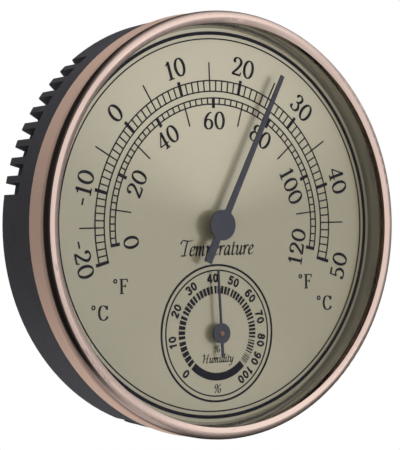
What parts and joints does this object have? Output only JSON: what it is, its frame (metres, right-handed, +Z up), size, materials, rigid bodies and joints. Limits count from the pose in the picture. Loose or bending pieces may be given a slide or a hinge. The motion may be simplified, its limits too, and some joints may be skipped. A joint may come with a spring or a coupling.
{
  "type": "dial thermo-hygrometer",
  "caption": "Round wall instrument with a dial temperature pointer, a smaller humidity dial below it, a rolled metal bezel and a vented black case with a keyhole.",
  "frame": {"origin": "centre of the flat rear face, on the temperature pointer's axis", "axes": "+Z up the dial, +Y out of the rear face into the wall, so the dial faces -Y; +X to the right as seen from the front"},
  "size_m": [0.102, 0.0226, 0.102],
  "materials": {
    "case_plastic": "fine-textured moulded plastic",
    "copper_plate": "rose copper plating, satin band and polished bead",
    "lens_glass": "clear, flat",
    "spacer_metal": "bright anodised champagne",
    "dial_metal": "champagne anodised, brushed in circles",
    "dial_ink": "screen-printed ink",
    "frame_steel": "zinc-plated sheet",
    "movement_brass": "turned brass",
    "bimetal": "rolled bimetal strip",
    "humidity_strip": "laminated moisture-sensitive strip",
    "arbor_steel": "ground steel",
    "arbor_copper": "copper-coloured pin",
    "screw_steel": "zinc-plated",
    "pointer_paint": "satin slate paint on aluminium"
  },
  "bodies": {
    "case": {"rear_case": "case_plastic", "bezel": "copper_plate", "lens": "lens_glass", "spacer_ring": "spacer_metal", "dial_plate": "dial_metal", "temperature_scale": "dial_ink", "humidity_scale": "dial_ink", "temperature_frame": "frame_steel", "temperature_bushes": "movement_brass", "temperature_coil": "bimetal", "temperature_stud": "movement_brass", "humidity_frame": "frame_steel", "humidity_bush": "movement_brass", "adjuster_washer": "screw_steel", "frame_screws": "screw_steel"},
    "temperature_hand": {"temperature_arbor": "arbor_steel", "temperature_collet": "movement_brass", "temperature_pointer": "pointer_paint", "temperature_pointer_boss": "movement_brass"},
    "regulator": {"humidity_adjuster": "movement_brass", "adjuster_arm": "movement_brass", "humidity_coil": "humidity_strip", "humidity_stud": "movement_brass"},
    "humidity_hand": {"humidity_arbor": "arbor_copper", "humidity_collet": "movement_brass", "humidity_pointer": "pointer_paint", "humidity_pointer_boss": "movement_brass"}
  },
  "joints": [
    {"name": "temperature_reading", "type": "hinge", "parent": "case", "child": "temperature_hand", "pos_m": [0, -0.0168, 0], "axis": [0, 1, 0], "range_deg": [-131.99, 78.01], "stiffness_Nm_per_rad": 0.015, "deforming": ["temperature_coil"]},
    {"name": "humidity_adjustment", "type": "hinge", "parent": "case", "child": "regulator", "pos_m": [0, -0.006, -0.02587], "axis": [0, 1, 0], "range_deg": [-15, 15]},
    {"name": "humidity_reading", "type": "hinge", "parent": "regulator", "child": "humidity_hand", "pos_m": [0, -0.0168, -0.02587], "axis": [0, 1, 0], "range_deg": [-132, 137.8], "stiffness_Nm_per_rad": 0.0035, "deforming": ["humidity_coil"]}
  ]
}
